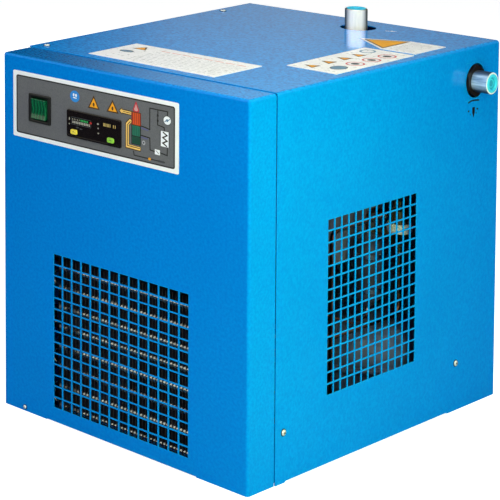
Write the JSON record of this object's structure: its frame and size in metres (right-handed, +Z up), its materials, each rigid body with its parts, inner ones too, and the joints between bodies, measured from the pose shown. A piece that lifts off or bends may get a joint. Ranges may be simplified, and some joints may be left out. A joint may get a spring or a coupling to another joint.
{
  "type": "refrigerated air dryer",
  "caption": "Box-shaped refrigerated compressed-air dryer with a control panel, square-mesh grilles, and inlet and outlet pipe stubs, with its refrigeration circuit inside.",
  "frame": {"origin": "the middle of the underside of the base pan, on the ground plane and centred under the casing", "axes": "+X to the right as seen from the control panel, +Y from the front to the back, +Z up"},
  "size_m": [0.3714, 0.5258, 0.4754],
  "materials": {
    "blue_paint": "gloss powder coat",
    "zinc_steel": "zinc plated",
    "copper": "drawn copper tube",
    "brass": "machined",
    "aluminium": "mill finish",
    "fin_black": "black coated fins",
    "black_steel": "satin black paint",
    "black_plastic": "fine texture",
    "foam": "closed-cell insulation",
    "rubber": "moulded",
    "label_grey": "printed polyester overlay",
    "label_white": "printed film",
    "green_rocker": "translucent",
    "yellow_button": "soft touch",
    "green_button": "soft touch",
    "teal_plastic": "polyethylene plug",
    "grey_plastic": "moulded",
    "white_plastic": "moulded",
    "cable": "cable sheath"
  },
  "bodies": {
    "casing": {"air_inlet_pipe": "zinc_steel", "air_outlet_pipe": "zinc_steel", "base_pan": "blue_paint", "bypass_feed_tube": "copper", "bypass_valve": "brass", "capillary_tube": "copper", "compressor": "black_steel", "compressor_cable": "cable", "compressor_grommet_1": "rubber", "compressor_grommet_2": "rubber", "compressor_grommet_3": "rubber", "compressor_grommet_4": "rubber", "compressor_terminal_cover": "black_plastic", "condenser_coil": "copper", "condenser_fins": "fin_black", "control_harness": "cable", "discharge_tube": "copper", "drain_coil": "black_plastic", "drain_outlet": "black_plastic", "drain_tube": "white_plastic", "drain_valve": "brass", "exchanger_core": "aluminium", "exchanger_stand": "zinc_steel", "fan_bracket": "zinc_steel", "fan_motor": "black_steel", "fan_pressure_switch": "brass", "fan_shroud": "black_steel", "filter_drier": "black_steel", "insulation_lower": "foam", "insulation_upper": "foam", "left_panel": "blue_paint", "liquid_tube": "copper", "main_cover": "blue_paint", "power_inlet": "black_plastic", "rear_panel": "blue_paint", "rear_screw_1": "zinc_steel", "rear_screw_2": "zinc_steel", "run_capacitor": "white_plastic", "side_screw_1": "zinc_steel", "side_screw_2": "zinc_steel", "suction_tube": "copper", "switch_lead": "cable", "terminal_box": "grey_plastic", "top_label_corner": "label_white", "top_label_front": "label_white", "top_label_side": "label_white", "top_screw_1": "zinc_steel", "top_screw_2": "zinc_steel"},
    "fan": {"fan_rotor": "black_steel", "fan_shaft": "zinc_steel"},
    "front_cover_set": {"front_cover": "blue_paint", "front_screw": "zinc_steel", "control_label": "label_grey", "switch_body": "black_plastic", "controller_body": "black_plastic"},
    "rocker": {"switch_rocker": "green_rocker"},
    "left_button": {"controller_button_left": "yellow_button"},
    "right_button": {"controller_button_right": "green_button"},
    "inlet_plug_body": {"inlet_plug": "teal_plastic"},
    "outlet_plug_body": {"outlet_plug": "teal_plastic"}
  },
  "joints": [
    {"name": "fan_spin", "type": "hinge", "parent": "casing", "child": "fan", "pos_m": [0, -0.173, 0.108], "axis": [0, 1, 0], "continuous": true},
    {"name": "front_cover_pull", "type": "slide", "parent": "casing", "child": "front_cover_set", "axis": [0, -1, 0], "range_m": [0, 0.16]},
    {"name": "rocker_tilt", "type": "hinge", "parent": "front_cover_set", "child": "rocker", "pos_m": [-0.1153, -0.248, 0.3872], "axis": [1, 0, 0], "range_deg": [-6, 6]},
    {"name": "left_button_press", "type": "slide", "parent": "front_cover_set", "child": "left_button", "axis": [0, 1, 0], "range_m": [0, 0.0009]},
    {"name": "right_button_press", "type": "slide", "parent": "front_cover_set", "child": "right_button", "axis": [0, 1, 0], "range_m": [0, 0.0009]},
    {"name": "inlet_plug_pull", "type": "slide", "parent": "casing", "child": "inlet_plug_body", "axis": [0, 0, 1], "range_m": [0, 0.045]},
    {"name": "outlet_plug_pull", "type": "slide", "parent": "casing", "child": "outlet_plug_body", "axis": [1, 0, 0], "range_m": [0, 0.045]}
  ]
}
